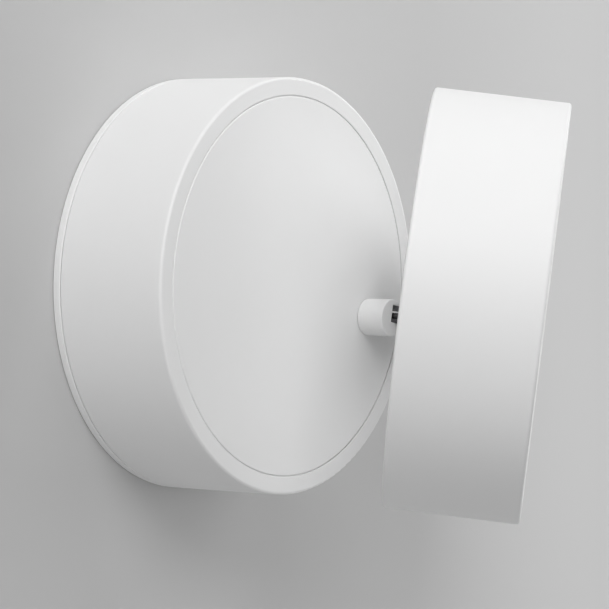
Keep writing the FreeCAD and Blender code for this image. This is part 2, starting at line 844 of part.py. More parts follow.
def pivot_pins():
    # Two short pins, one in each cheek of the slot, so that the wire can pass between them.
    inner = slot_width / 2 - knuckle_side_gap - knuckle_leg - pin_gap
    end = math.sqrt(stub_radius ** 2 - hinge_shift_out ** 2) - pin_end_recess
    pins = []
    for low, high in ((-end, hinge_shift_up - inner), (hinge_shift_up + inner, end)):
        start = V(hinge_shift_out, low, hinge_height)
        pins.append(Part.makeCylinder(pin_radius, high - low, start, V(0, 1, 0)))
    return Part.makeCompound(pins)


def joint_bend():
    # The wire's axis turns at the hinge's height, from the stub's direction into the head's.
    corner = V(wire_x, wire_y, hinge_height)
    tilt = math.radians(tilt_at_rest)
    direction = V(math.sin(tilt), 0, math.cos(tilt))
    reach = knuckle_half_width + sleeve_gap
    return corner, direction, reach


def pivot_wire():
    reach = joint_bend()[2] + sleeve_end
    return cylinder(wire_radius, -shank_length - wire_tail, hinge_height - reach, wire_x, wire_y)


def joint_sleeve():
    corner, direction, reach = joint_bend()
    bend = reach / math.tan(math.radians(tilt_at_rest / 2))
    end = reach + sleeve_end
    return wire([corner - OUT * end, corner, corner + direction * end], bend)


# ---------------------------------------------------------------- the head

def tilt_knuckle():
    outer = slot_width / 2 - knuckle_side_gap
    legs = block(-knuckle_half_width, knuckle_half_width, -outer, outer, 0, knuckle_collar_start + into)
    eye = Part.makeCylinder(knuckle_half_width, 2 * outer, V(0, -outer, 0), V(0, 1, 0))
    collar = cylinder(knuckle_collar_radius, knuckle_collar_start, head_back_height)
    shank_end = head_back_height + knuckle_shank_length
    shank = cylinder(knuckle_shank_radius, head_back_height - into, shank_end)
    body = legs.fuse([eye, collar, shank]).removeSplitter()
    between = outer - knuckle_leg
    reach = knuckle_half_width + past
    gap = block(-reach, reach, -between, between, -reach, knuckle_collar_start)
    side = outer + past
    pin_hole = Part.makeCylinder(pin_radius + pin_gap, 2 * side, V(0, -side, 0), V(0, 1, 0))
    bore = cylinder(knuckle_bore_radius, knuckle_collar_start - into, shank_end + past)
    return body.cut([gap, pin_hole, bore])


def head_housing():
    shell = turned([(0, 0), (drum_radius, 0, drum_edge_round), (drum_radius, drum_depth, drum_edge_round),
                    (recess_radius, drum_depth, small_edge_round), (recess_radius, lens_seat),
                    (ledge_inner_radius, lens_seat), (ledge_inner_radius, lens_ledge_back),
                    (inner_radius, lens_ledge_back, side_wall), (inner_radius, head_back_wall, side_wall),
                    (0, head_back_wall)])
    for angle in boss_angles:
        x, y = around(boss_distance, angle)
        shell = shell.fuse(cylinder(boss_radius, head_back_wall - into, sink_back, x, y))
    hole = knuckle_shank_radius + thread_clearance
    cuts = [cylinder(hole, -past, head_back_wall + past, hinge_to_head_centre)]
    hole = small_screw[0] + thread_clearance
    for angle in boss_angles:
        x, y = around(boss_distance, angle)
        cuts.append(cylinder(hole, sink_back - boss_thread_depth, sink_back + past, x, y))
    return shell.cut(cuts)


def knuckle_washer():
    return tube(knuckle_shank_radius + thread_clearance, knuckle_washer_radius, head_back_wall,
                head_back_wall + knuckle_washer_thickness, hinge_to_head_centre)


def knuckle_nut():
    return nut(knuckle_nut_width, knuckle_nut_height, knuckle_shank_radius + thread_clearance,
               head_back_wall + knuckle_washer_thickness, hinge_to_head_centre)


def heat_sink():
    body = cylinder(sink_radius, sink_back, sink_front)
    first = -(sink_fin_count - 1) / 2 * sink_fin_pitch
    fin_low = head_back_wall + sink_fin_clearance
    fin = (sink_fin_thickness, 2 * sink_fin_radius, sink_back + into - fin_low)
    fins = [centred_block(fin, first + i * sink_fin_pitch, 0, fin_low) for i in range(sink_fin_count)]
    fins = Part.makeCompound(fins).common(cylinder(sink_fin_radius, fin_low, sink_back + into))
    body = body.fuse(fins)
    cuts = [cylinder(sink_notch_radius, 0, sink_front + past, hinge_to_head_centre)]
    for angle in boss_angles:
        x, y = around(boss_distance, angle)
        cuts.append(cylinder(small_screw[0] + hole_clearance, sink_back - past, sink_front + past, x, y))
    for angle in board_screw_angles:
        x, y = around(board_screw_distance, angle)
        low = sink_front - board_thread_depth
        cuts.append(cylinder(small_screw[0] + thread_clearance, low, sink_front + past, x, y))
    return body.cut(cuts)


def heat_sink_screws():
    tip = sink_back - boss_thread_depth + tip_margin
    return Part.makeCompound([screw(small_screw, sink_front, tip, *around(boss_distance, angle))
                              for angle in boss_angles])


def thermal_pad():
    pad = cylinder(board_radius, sink_front, board_back)
    return pad.cut(board_screw_holes(sink_front, board_back))


def led_board():
    board = cylinder(board_radius, board_back, board_front)
    return board.cut(board_screw_holes(board_back, board_front))


def board_screw_holes(low, high):
    hole = small_screw[0] + hole_clearance
    return [cylinder(hole, low - past, high + past, *around(board_screw_distance, angle))
            for angle in board_screw_angles]


def board_screws():
    tip = sink_front - board_thread_depth + tip_margin
    return Part.makeCompound([screw(small_screw, board_front, tip, *around(board_screw_distance, angle))
                              for angle in board_screw_angles])


def led_chips():
    # Each ring has as many sixes of chips as its pitch allows.
    chips = []
    for inset in chip_ring_insets:
        distance = board_radius - inset
        count = 6 * int(2 * math.pi * distance / (6 * chip_pitch))
        for i in range(count):
            chip = centred_block(chip_size, distance, 0, board_front)
            chip.rotate(V(0, 0, 0), OUT, (i + 0.5) * 360 / count)
            chips.append(chip)
    return Part.makeCompound(chips)


def board_connector():
    body = centred_block(connector_size, connector_x, 0, board_front)
    mouth = V(connector_x + connector_size[0] / 2 - connector_mouth, -wire_inset, head_wire_height)
    hole = Part.makeCylinder(wire_radius + thread_clearance, connector_mouth + past, mouth, V(1, 0, 0))
    return body.cut(hole)


def head_wire():
    # Through the knuckle's bore, past the heat sink's notch and over the board's edge to the connector.
    end = joint_bend()[2] + sleeve_end
    tilt = math.radians(tilt_at_rest)
    start = end - wire_inset * math.sin(tilt) - head_back_height
    x, y = hinge_to_head_centre - wire_inset * math.cos(tilt), -wire_inset
    mouth = connector_x + connector_size[0] / 2
    return wire([V(x, y, start), V(x, y, head_wire_height), V(mouth - connector_wire, y, head_wire_height)])


def reflector():
    floor_low = board_front + reflector_gap
    floor_top = floor_low + reflector_wall
    foot = reflector_foot_radius
    top = lens_ledge_back - reflector_gap
    body = turned([(reflector_floor_radius, floor_low), (foot - reflector_wall, floor_low),
                   (foot - reflector_wall, sink_front), (foot, sink_front), (foot, floor_top),
                   (reflector_top_radius, top), (reflector_top_radius - reflector_wall, top),
                   (foot - reflector_wall, floor_top), (reflector_floor_radius, floor_top)])
    length, width = reflector_notch
    notch = block(reflector_floor_radius - past, reflector_floor_radius + length, -width / 2, width / 2,
                  floor_low - past, floor_top + past)
    return body.cut(notch)


def diffuser():
    lens = turned([(0, lens_seat), (disc_radius, lens_seat), (disc_radius, drum_depth, disc_edge_round),
                   (0, drum_depth)])
    outer = ledge_inner_radius - snap_gap
    barb_top = lens_ledge_back - snap_gap
    barb_low = barb_top - snap_barb_height
    for angle in snap_angles:
        leg = sector(outer - snap_thickness, outer, barb_low, lens_seat + into, angle, snap_half_angle)
        barb = sector(outer - into, outer + snap_barb, barb_low, barb_top, angle, snap_half_angle)
        lens = lens.fuse([leg, barb])
    return lens.removeSplitter()


# ---------------------------------------------------------------- all pieces in their frames

in_base = [wall_plate, cable_grommet, base_housing, housing_grub_screws, face_disc, face_disc_washers,
           face_disc_nuts, terminal_block, terminal_clamps, terminal_clamp_screws, terminal_fixing_screws,
           earth_washer, earth_lug, earth_screw, driver_case, driver_cover, driver_board, driver_transformer,
           driver_capacitor, driver_screws, live_wire, neutral_wire, earth_wire, supply_wire]
in_pivot = [swivel_bush, stop_pin]
in_swivel = [pivot_stub, stop_washer, spring_washer, lock_nut, pivot_pins, pivot_wire, joint_sleeve]
in_hinge = [tilt_knuckle]
in_head = [head_housing, knuckle_washer, knuckle_nut, heat_sink, heat_sink_screws, thermal_pad, led_board,
           board_screws, led_chips, board_connector, head_wire, reflector, diffuser]

os.makedirs("parts", exist_ok=True)
for pieces, place in ((in_base, base_frame), (in_pivot, pivot_frame), (in_swivel, swivel_frame),
                      (in_hinge, hinge_frame), (in_head, head_frame)):
    for piece in pieces:
        shape = piece()
        shape.Placement = place.multiply(shape.Placement)
        shape.exportStep("parts/" + piece.__name__ + ".step")
        box = shape.BoundBox
        print(f"{piece.__name__:24s} solids {len(shape.Solids):2d}  volume {shape.Volume:10.1f}  "
              f"valid {shape.isValid()}  X {box.XMin:7.2f} {box.XMax:7.2f}  "
              f"Y {box.YMin:7.2f} {box.YMax:7.2f}  Z {box.ZMin:7.2f} {box.ZMax:7.2f}")
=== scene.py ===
import bmesh
import bpy
import json
import math
from mathutils import Matrix, Vector


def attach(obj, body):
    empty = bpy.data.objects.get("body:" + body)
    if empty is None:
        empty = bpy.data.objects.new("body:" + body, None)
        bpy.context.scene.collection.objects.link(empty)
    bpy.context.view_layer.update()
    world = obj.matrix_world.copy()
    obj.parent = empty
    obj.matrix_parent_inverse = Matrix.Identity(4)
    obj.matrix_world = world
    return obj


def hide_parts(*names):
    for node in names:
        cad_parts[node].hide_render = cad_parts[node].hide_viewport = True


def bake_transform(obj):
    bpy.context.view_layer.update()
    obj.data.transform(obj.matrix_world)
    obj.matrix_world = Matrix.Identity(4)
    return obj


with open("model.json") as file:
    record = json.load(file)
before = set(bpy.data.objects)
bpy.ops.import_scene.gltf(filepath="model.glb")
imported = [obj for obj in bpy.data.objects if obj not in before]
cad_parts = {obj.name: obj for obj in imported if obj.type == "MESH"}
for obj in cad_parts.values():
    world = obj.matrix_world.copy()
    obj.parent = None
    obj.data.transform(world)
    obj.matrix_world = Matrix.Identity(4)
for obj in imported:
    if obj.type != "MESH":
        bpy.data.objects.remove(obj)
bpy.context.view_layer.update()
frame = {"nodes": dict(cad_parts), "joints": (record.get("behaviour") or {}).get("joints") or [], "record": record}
scene = bpy.context.scene
cadNodes = frame["nodes"]
print("frame loaded:", len(cadNodes), "nodes")


# places, all in metres, from the part's own joints

joints = {joint["name"]: joint for joint in frame["joints"]}
pivotPlace = Vector(joints["swivel"]["pos_m"])
tiltPlace = Vector(joints["tilt"]["pos_m"])
tiltAxis = Vector(joints["tilt"]["axis"]).normalized()
# at the tilt's low limit the head is parallel to the wall
tiltAtRest = math.radians(-joints["tilt"]["range_deg"][0])

onWall = Matrix.Rotation(math.radians(90), 4, "X")  # local +Z points out of the wall
swivelAxis = Vector(joints["swivel"]["axis"]).normalized()
acrossHinge = tiltAxis.cross(swivelAxis)
swivelTurn = Matrix((acrossHinge, tiltAxis, swivelAxis)).transposed().to_4x4()
onPivot = Matrix.Translation(pivotPlace) @ swivelTurn
headShift = Matrix.Translation((-0.0368, 0, 0.0073))  # from the hinge to the middle of the head's back
headTurn = Matrix.Rotation(tiltAtRest, 4, tiltAxis) @ swivelTurn
inHead = Matrix.Translation(tiltPlace) @ headTurn @ headShift


# the camera, at the photograph's angle

camera = {
    "azimuth": -53.347,
    "elevation": 2.357,
    "distance": 0.9182,
    "right": 0.03176,
    "up": -0.00569,
    "lens": 201.29,
    "sensor": 36.0,
    "nearest": 0.05, "farthest": 20.0,
}


def makeCamera(view):
    turn, rise = math.radians(view["azimuth"]), math.radians(view["elevation"])
    back = Vector((math.sin(turn) * math.cos(rise), -math.cos(turn) * math.cos(rise), math.sin(rise)))
    right = Vector((math.cos(turn), math.sin(turn), 0))
    up = back.cross(right)
    data = bpy.data.cameras.new("camera")
    data.lens = view["lens"]
    data.sensor_width = view["sensor"]
    data.clip_start = view["nearest"]
    data.clip_end = view["farthest"]
    eye = bpy.data.objects.new("camera", data)
    scene.collection.objects.link(eye)
    turnMatrix = Matrix((right, up, back)).transposed().to_4x4()
    place = back * view["distance"] + right * view["right"] + up * view["up"]
    eye.matrix_world = Matrix.Translation(place) @ turnMatrix
    scene.camera = eye


makeCamera(camera)
print("camera set")


# material helpers

def newMaterial(name):
    material = bpy.data.materials.new(name)
    material.use_nodes = True
    nodes = material.node_tree.nodes
    return material, nodes, material.node_tree.links, nodes["Principled BSDF"]


def objectNoise(nodes, links, scale, detail=2.0, rough=0.5):
    place = nodes.new("ShaderNodeTexCoord")
    noise = nodes.new("ShaderNodeTexNoise")
    noise.inputs["Scale"].default_value = scale
    noise.inputs["Detail"].default_value = detail
    noise.inputs["Roughness"].default_value = rough
    links.new(place.outputs["Object"], noise.inputs["Vector"])
    return noise


def spread(nodes, links, source, low, high):
    # maps a noise of 0.3 to 0.7 onto low to high
    ranged = nodes.new("ShaderNodeMapRange")
    ranged.inputs["From Min"].default_value = 0.3
    ranged.inputs["From Max"].default_value = 0.7
    ranged.inputs["To Min"].default_value = low
    ranged.inputs["To Max"].default_value = high
    links.new(source, ranged.inputs["Value"])
    return ranged.outputs["Result"]


def blendColours(nodes, links, factor, first, second):
    mix = nodes.new("ShaderNodeMix")
    mix.data_type = "RGBA"
    mix.inputs["A"].default_value = (*first, 1)
    mix.inputs["B"].default_value = (*second, 1)
    links.new(factor, mix.inputs["Factor"])
    return mix.outputs["Result"]


def addBump(nodes, links, shader, height, distance):
    bump = nodes.new("ShaderNodeBump")
    bump.inputs["Distance"].default_value = distance
    bump.inputs["Strength"].default_value = 1.0
    links.new(height, bump.inputs["Height"])
    links.new(bump.outputs["Normal"], shader.inputs["Normal"])
    return bump


def twoShades(nodes, links, shader, scale, light, dark):
    drift = objectNoise(nodes, links, scale, 3.0)
    colour = blendColours(nodes, links, spread(nodes, links, drift.outputs["Fac"], 0, 1), light, dark)
    links.new(colour, shader.inputs["Base Color"])


# powder coat: satin white with a fine orange peel

powder = {
    "light": (0.827, 0.828, 0.828),
    "shade": (0.812, 0.813, 0.813),
    "drift": 26.0,       # changes of shade in a metre
    "peel": 620.0,       # ripples in a metre
    "grain": 3800.0,
    "peelHeight": 0.000010,
    "grainHeight": 0.0000025,
    "roughness": (0.45, 0.57),
    "specular": 0.45,
}


def powderCoat(name, look):
    material, nodes, links, shader = newMaterial(name)
    shader.inputs["Specular IOR Level"].default_value = look["specular"]
    twoShades(nodes, links, shader, look["drift"], look["light"], look["shade"])
    peel = objectNoise(nodes, links, look["peel"], 1.0)
    grain = objectNoise(nodes, links, look["grain"], 1.0)
    links.new(spread(nodes, links, grain.outputs["Fac"], *look["roughness"]), shader.inputs["Roughness"])
    coarse = addBump(nodes, links, shader, peel.outputs["Fac"], look["peelHeight"])
    fine = addBump(nodes, links, shader, grain.outputs["Fac"], look["grainHeight"])
    links.new(coarse.outputs["Normal"], fine.inputs["Normal"])
    return material


whitePowder = powderCoat("whitePowder", powder)


# the other finishes, one for each of the record's slots

metals = {
    # two shades, roughness, grains in a metre, grain height
    "zinc_steel": ((0.64, 0.65, 0.67), (0.52, 0.53, 0.55), (0.24, 0.40), 900.0, 0.000004),
    "brass": ((0.78, 0.60, 0.30), (0.62, 0.44, 0.19), (0.24, 0.42), 420.0, 0.000004),
    "bare_aluminium": ((0.74, 0.75, 0.77), (0.62, 0.63, 0.66), (0.34, 0.52), 1500.0, 0.000012),
}
# painted shade: the knuckle's near-black also stands in for the shade in the hinge's slot
darkSteelWithPaintedShade = {
    "light": (0.070, 0.070, 0.075),
    "dark": (0.035, 0.035, 0.038),
    "metallic": 0.6,
    "drift": 320.0,
    "grain": 2600.0,
    "grainHeight": 0.000010,
    "roughness": (0.34, 0.52),
}
plastics = {
    # two shades, roughness, texture marks in a metre, their height
    "bearing_plastic": ((0.175, 0.175, 0.185), (0.135, 0.135, 0.14), (0.42, 0.58), 1400.0, 0.000008),
    "white_plastic": ((0.80, 0.80, 0.77), (0.74, 0.74, 0.71), (0.38, 0.52), 1800.0, 0.000010),
    "white_reflector": ((0.90, 0.90, 0.89), (0.87, 0.87, 0.86), (0.46, 0.60), 2200.0, 0.000006),
    "capacitor_sleeve": ((0.05, 0.06, 0.13), (0.035, 0.045, 0.09), (0.16, 0.26), 260.0, 0.000020),
    "brown_wire": ((0.24, 0.11, 0.055), (0.18, 0.08, 0.04), (0.34, 0.46), 700.0, 0.000008),
    "blue_wire": ((0.05, 0.20, 0.52), (0.04, 0.15, 0.42), (0.34, 0.46), 700.0, 0.000008),
    "black_wire": ((0.055, 0.055, 0.055), (0.035, 0.035, 0.035), (0.34, 0.48), 700.0, 0.000008),
}
rubbers = {
    "grey_rubber": ((0.34, 0.34, 0.35), (0.27, 0.27, 0.28), (0.70, 0.86), 2400.0, 0.000014),
    "black_rubber": ((0.035, 0.035, 0.035), (0.022, 0.022, 0.022), (0.62, 0.80), 2400.0, 0.000014),
}
plasticDrift = 90.0
opal = {
    "light": (0.90, 0.90, 0.885),
    "shade": (0.87, 0.87, 0.855),
    "roughness": (0.30, 0.38),
    "subsurface": 0.25,
    "scatter": 0.004,
    "scatterColours": (1.0, 1.0, 0.9),
    "ior": 1.49,
    "drift": 45.0,
    "haze": 1600.0, "hazeHeight": 0.000004,
}
board = {
    "scale": 120.0,
    "laneWidth": 0.035, "laneEdge": 0.3,
    "brickWidth": 0.9, "rowHeight": 0.42,
    "laneHeight": 0.00003,
    "secondShade": 0.93,
    "weave": 1500.0,
    "roughness": (0.28, 0.42),
}
phosphor = {
    "light": (0.93, 0.79, 0.28),
    "dark": (0.86, 0.68, 0.20),
    "subsurface": 0.15,
    "scatter": 0.0006,
    "drift": 900.0,
    "swirl": 3000.0, "swirlHeight": 0.000004,
    "roughness": (0.22, 0.34),
}
tape = {
    "light": (0.80, 0.68, 0.16), "dark": (0.70, 0.57, 0.12),
    "bands": 260.0, "direction": "Y", "sharp": 0.4,
    "roughness": (0.28, 0.40), "height": 0.00004,
}
earthStripe = {
    "light": (0.12, 0.42, 0.10), "dark": (0.78, 0.70, 0.08),
    "bands": 90.0, "direction": "DIAGONAL", "sharp": 0.05,
    "roughness": (0.34, 0.46), "height": 0.000004,
}
bandWobble, bandGrain = 0.4, 800.0


def metalFinish(name, light, dark, roughness, grain, height):
    material, nodes, links, shader = newMaterial(name)
    shader.inputs["Metallic"].default_value = 1.0
    twoShades(nodes, links, shader, grain / 6, light, dark)
    marks = objectNoise(nodes, links, grain, 4.0, 0.6)
    links.new(spread(nodes, links, marks.outputs["Fac"], *roughness), shader.inputs["Roughness"])
    addBump(nodes, links, shader, marks.outputs["Fac"], height)
    return material


def mouldedFinish(name, light, dark, roughness, grain, height, specular=0.5):
    material, nodes, links, shader = newMaterial(name)
    shader.inputs["Specular IOR Level"].default_value = specular
    twoShades(nodes, links, shader, plasticDrift, light, dark)
    marks = objectNoise(nodes, links, grain, 2.0)
    links.new(spread(nodes, links, marks.outputs["Fac"], *roughness), shader.inputs["Roughness"])
    addBump(nodes, links, shader, marks.outputs["Fac"], height)
    return material


def knuckleDarkWithPaintedShade(look):
    # dark steel for the knuckle, near-black partly as painted shade that stands in for the shaded slot at the
    # hinge; its tone varies at random
    material, nodes, links, shader = newMaterial("knuckleDarkWithPaintedShade")
    shader.inputs["Metallic"].default_value = look["metallic"]
    twoShades(nodes, links, shader, look["drift"], look["light"], look["dark"])
    marks = objectNoise(nodes, links, look["grain"], 3.0)
    links.new(spread(nodes, links, marks.outputs["Fac"], *look["roughness"]), shader.inputs["Roughness"])
    addBump(nodes, links, shader, marks.outputs["Fac"], look["grainHeight"])
    return material


def opalAcrylic(look):
    material, nodes, links, shader = newMaterial("opalAcrylic")
    shader.inputs["Subsurface Weight"].default_value = look["subsurface"]
    shader.inputs["Subsurface Radius"].default_value = look["scatterColours"]
    shader.inputs["Subsurface Scale"].default_value = look["scatter"]
    shader.inputs["IOR"].default_value = look["ior"]
    twoShades(nodes, links, shader, look["drift"], look["light"], look["shade"])
    haze = objectNoise(nodes, links, look["haze"], 2.0)
    links.new(spread(nodes, links, haze.outputs["Fac"], *look["roughness"]), shader.inputs["Roughness"])
    addBump(nodes, links, shader, haze.outputs["Fac"], look["hazeHeight"])
    return material


def intoFrame(nodes, links, place):
    # object coordinates turned into a piece's own frame
    back = place.inverted()
    coordinates = nodes.new("ShaderNodeTexCoord")
    mapping = nodes.new("ShaderNodeMapping")
    mapping.inputs["Location"].default_value = back.to_translation()
    mapping.inputs["Rotation"].default_value = back.to_euler()
    links.new(coordinates.outputs["Object"], mapping.inputs["Vector"])
    return mapping.outputs["Vector"]


def boardFinish(name, place, mask, track):
    # solder mask over copper tracks, which show as slightly raised lanes
    material, nodes, links, shader = newMaterial(name)
    lanes = nodes.new("ShaderNodeTexBrick")
    lanes.inputs["Color1"].default_value = (*mask, 1)
    lanes.inputs["Color2"].default_value = (*[shade * board["secondShade"] for shade in mask], 1)
    lanes.inputs["Mortar"].default_value = (*track, 1)
    lanes.inputs["Scale"].default_value = board["scale"]
    lanes.inputs["Mortar Size"].default_value = board["laneWidth"]
    lanes.inputs["Mortar Smooth"].default_value = board["laneEdge"]
    lanes.inputs["Brick Width"].default_value = board["brickWidth"]
    lanes.inputs["Row Height"].default_value = board["rowHeight"]
    links.new(intoFrame(nodes, links, place), lanes.inputs["Vector"])
    links.new(lanes.outputs["Color"], shader.inputs["Base Color"])
    weave = objectNoise(nodes, links, board["weave"], 2.0)
    links.new(spread(nodes, links, weave.outputs["Fac"], *board["roughness"]), shader.inputs["Roughness"])
    addBump(nodes, links, shader, lanes.outputs["Fac"], board["laneHeight"])
    return material


def phosphorGel(look):
    material, nodes, links, shader = newMaterial("phosphorGel")
    shader.inputs["Subsurface Weight"].default_value = look["subsurface"]
    shader.inputs["Subsurface Scale"].default_value = look["scatter"]
    twoShades(nodes, links, shader, look["drift"], look["light"], look["dark"])
    swirl = objectNoise(nodes, links, look["swirl"], 2.0)
    links.new(spread(nodes, links, swirl.outputs["Fac"], *look["roughness"]), shader.inputs["Roughness"])
    addBump(nodes, links, shader, swirl.outputs["Fac"], look["swirlHeight"])
    return material


def bandedFinish(name, look):
    # bands across the piece: the turns of a tape, or the two colours of an earth wire
    material, nodes, links, shader = newMaterial(name)
    place = nodes.new("ShaderNodeTexCoord")
    turns = nodes.new("ShaderNodeTexWave")
    turns.bands_direction = look["direction"]
    turns.inputs["Scale"].default_value = look["bands"]
    turns.inputs["Distortion"].default_value = bandWobble
    links.new(place.outputs["Object"], turns.inputs["Vector"])
    edge = nodes.new("ShaderNodeMapRange")
    edge.inputs["From Min"].default_value = 0.5 - look["sharp"]
    edge.inputs["From Max"].default_value = 0.5 + look["sharp"]
    links.new(turns.outputs["Fac"], edge.inputs["Value"])
    colour = blendColours(nodes, links, edge.outputs["Result"], look["light"], look["dark"])
    links.new(colour, shader.inputs["Base Color"])
    marks = objectNoise(nodes, links, bandGrain, 2.0)
    links.new(spread(nodes, links, marks.outputs["Fac"], *look["roughness"]), shader.inputs["Roughness"])
    addBump(nodes, links, shader, turns.outputs["Fac"], look["height"])
    return material


finishes = {
    "white_paint": whitePowder,
    "dark_steel": knuckleDarkWithPaintedShade(darkSteelWithPaintedShade),
    "opal_diffuser": opalAcrylic(opal),
    "green_board": boardFinish("boardGreen", onWall, (0.05, 0.25, 0.11), (0.10, 0.36, 0.16)),
    "white_board": boardFinish("boardWhite", inHead, (0.86, 0.86, 0.84), (0.80, 0.80, 0.78)),
    "led_phosphor": phosphorGel(phosphor),
    "transformer_tape": bandedFinish("windingTape", tape),
    "earth_wire": bandedFinish("earthStripes", earthStripe),
}
for slotName, look in metals.items():
    finishes[slotName] = metalFinish(slotName + "Finish", *look)
for slotName, look in plastics.items():
    finishes[slotName] = mouldedFinish(slotName + "Finish", *look)
for slotName, look in rubbers.items():
    finishes[slotName] = mouldedFinish(slotName + "Finish", *look, specular=0.3)

for part in frame["record"]["subparts"]:
    node = cadNodes[part["node"]]
    node.data.materials.clear()
    node.data.materials.append(finishes[part["material_slot"]])
print("finishes given to", len(cadNodes), "nodes")


# pieces

sharpFrom = math.radians(35)


def addPiece(name, mesh, body, replaced=()):
    piece = bpy.data.objects.new(name, mesh)
    scene.collection.objects.link(piece)
    if body:
        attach(piece, body)
    if replaced:
        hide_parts(*replaced)
    return piece


def loftRings(name, rings, material, closeEnds=True):
    # one closed skin over rings of points, with its faces outwards
    mesh = bpy.data.meshes.new(name)
    work = bmesh.new()
    closed = rings[0] is rings[-1]
    loops = [[work.verts.new(point) for point in ring] for ring in (rings[:-1] if closed else rings)]
    if closed:
        loops.append(loops[0])
    count = len(rings[0])
    for low, high in zip(loops, loops[1:]):
        for i in range(count):
            j = (i + 1) % count
            work.faces.new((low[i], low[j], high[j], high[i]))
    if closeEnds:
        work.faces.new(loops[0])
        work.faces.new(loops[-1])
    bmesh.ops.recalc_face_normals(work, faces=work.faces)
    work.to_mesh(mesh)
    work.free()
    mesh.shade_smooth()
    mesh.set_sharp_from_angle(angle=sharpFrom)
    mesh.materials.append(material)
    return mesh


def ringAround(section, turn, place):
    across, up = math.cos(turn), math.sin(turn)
    return [place @ Vector((radius * across, radius * up, height)) for radius, height in section]


def makeTree(name, sizes):
    tree = bpy.data.node_groups.new(name, "GeometryNodeTree")
    tree.interface.new_socket("Geometry", in_out="INPUT", socket_type="NodeSocketGeometry")
    for label, value in sizes.items():
        kind = "NodeSocketInt" if isinstance(value, int) else "NodeSocketFloat"
        tree.interface.new_socket(label, in_out="INPUT", socket_type=kind)
    tree.interface.new_socket("Geometry", in_out="OUTPUT", socket_type="NodeSocketGeometry")
    start = tree.nodes.new("NodeGroupInput")
    end = tree.nodes.new("NodeGroupOutput")
    return tree, start, end


def calculate(tree, operation, *values):
    step = tree.nodes.new("ShaderNodeMath")
    step.operation = operation
    for i, value in enumerate(values):
        if isinstance(value, (int, float)):
            step.inputs[i].default_value = value
        else:
            tree.links.new(value, step.inputs[i])
    return step.outputs[0]


def bake(name, tree, sizes, place):
    # runs the tree on an empty mesh and keeps the result as a plain mesh
    carrier = bpy.data.objects.new(name + "Maker", bpy.data.meshes.new(name + "Maker"))
    scene.collection.objects.link(carrier)
    maker = carrier.modifiers.new(name, "NODES")
    maker.node_group = tree
    for item in tree.interface.items_tree:
        if item.in_out == "INPUT" and item.name in sizes:
            maker[item.identifier] = sizes[item.name]
    ready = carrier.evaluated_get(bpy.context.evaluated_depsgraph_get())
    mesh = bpy.data.meshes.new_from_object(ready)
    carrier.modifiers.remove(maker)
    bpy.data.objects.remove(carrier)
    mesh.name = name
    mesh.transform(place)
    for i in reversed(range(len(mesh.materials))):
        if mesh.materials[i] is None:
            mesh.materials.pop(index=i)
    return mesh


def withMaterial(tree, geometry, material):
    node = tree.nodes.new("GeometryNodeSetMaterial")
    node.inputs["Material"].default_value = material
    tree.links.new(geometry, node.inputs["Geometry"])
    return node.outputs["Geometry"]


def joined(tree, pieces):
    join = tree.nodes.new("GeometryNodeJoinGeometry")
    for geometry in pieces:
        tree.links.new(geometry, join.inputs["Geometry"])
    return join.outputs["Geometry"]


def combine(tree, x=None, y=None, z=None):
    vector = tree.nodes.new("ShaderNodeCombineXYZ")
    for axis, value in (("X", x), ("Y", y), ("Z", z)):
        if value:
            tree.links.new(value, vector.inputs[axis])
    return vector.outputs["Vector"]


def moved(tree, geometry, z):
    shift = tree.nodes.new("GeometryNodeTransform")
    tree.links.new(geometry, shift.inputs["Geometry"])
    tree.links.new(combine(tree, z=z), shift.inputs["Translation"])
    return shift.outputs["Geometry"]


# the ribbed sleeve round the wire at the hinge, bent to the head's resting tilt

sleeve = {
    "x": 0.0011, "y": 0.0009,   # its place in the slot, in the pivot's frame
    "bendAt": 0.0050,           # the hinge's height
    "reach": 0.0024,            # its length past the bend
    "straight": 0.0005,         # the straight run at each end
    "radius": 0.0009,
    "ribDepth": 0.00016,
    "ribs": 9,
    "rings": 91,
    "sides": 24,
}


def makeSleeve(size):
    # the bend is an arc of the tilt angle that leaves a short straight run at each end
    turn = tiltAtRest
    straight = size["straight"]
    tangent = size["reach"] - straight
    bend = tangent / math.tan(turn / 2)
    arc = bend * turn
    total = 2 * straight + arc
    foot = Vector((size["x"], size["y"], size["bendAt"] - tangent))
    rings = []
    for i in range(size["rings"]):
        share = i / (size["rings"] - 1)
        along = share * total - straight
        angle = min(max(along / bend, 0), turn)
        spill = along - angle * bend
        heading = Vector((math.sin(angle), 0, math.cos(angle)))
        point = foot + Vector((bend * (1 - math.cos(angle)), 0, bend * math.sin(angle))) + heading * spill
        side = Vector((math.cos(angle), 0, -math.sin(angle)))
        wave = 0.5 - 0.5 * math.cos(2 * math.pi * size["ribs"] * share)
        radius = size["radius"] - size["ribDepth"] * (1 - wave)
        ring = []
        for k in range(size["sides"]):
            around = 2 * math.pi * k / size["sides"]
            spot = point + side * (radius * math.cos(around)) + Vector((0, radius * math.sin(around), 0))
            ring.append(onPivot @ spot)
        rings.append(ring)
    mesh = loftRings("jointSleeve", rings, finishes["black_rubber"])
    piece = addPiece("jointSleeve", mesh, None, ["joint_sleeve"])
    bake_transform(piece)


makeSleeve(sleeve)
print("joint sleeve made")


# the bead of coat that bridges the gap round the front disc, deepest on the pivot's side

bead = {
    "inner": 0.05002, "outer": 0.05028,
    "low": 0.0338,
    "front": 0.0356,
    "shallow": 0.00030, "deep": 0.0012,
    "openAt": -12.0,     # degrees round the disc, where the gap is deepest
    "steps": 192,
}


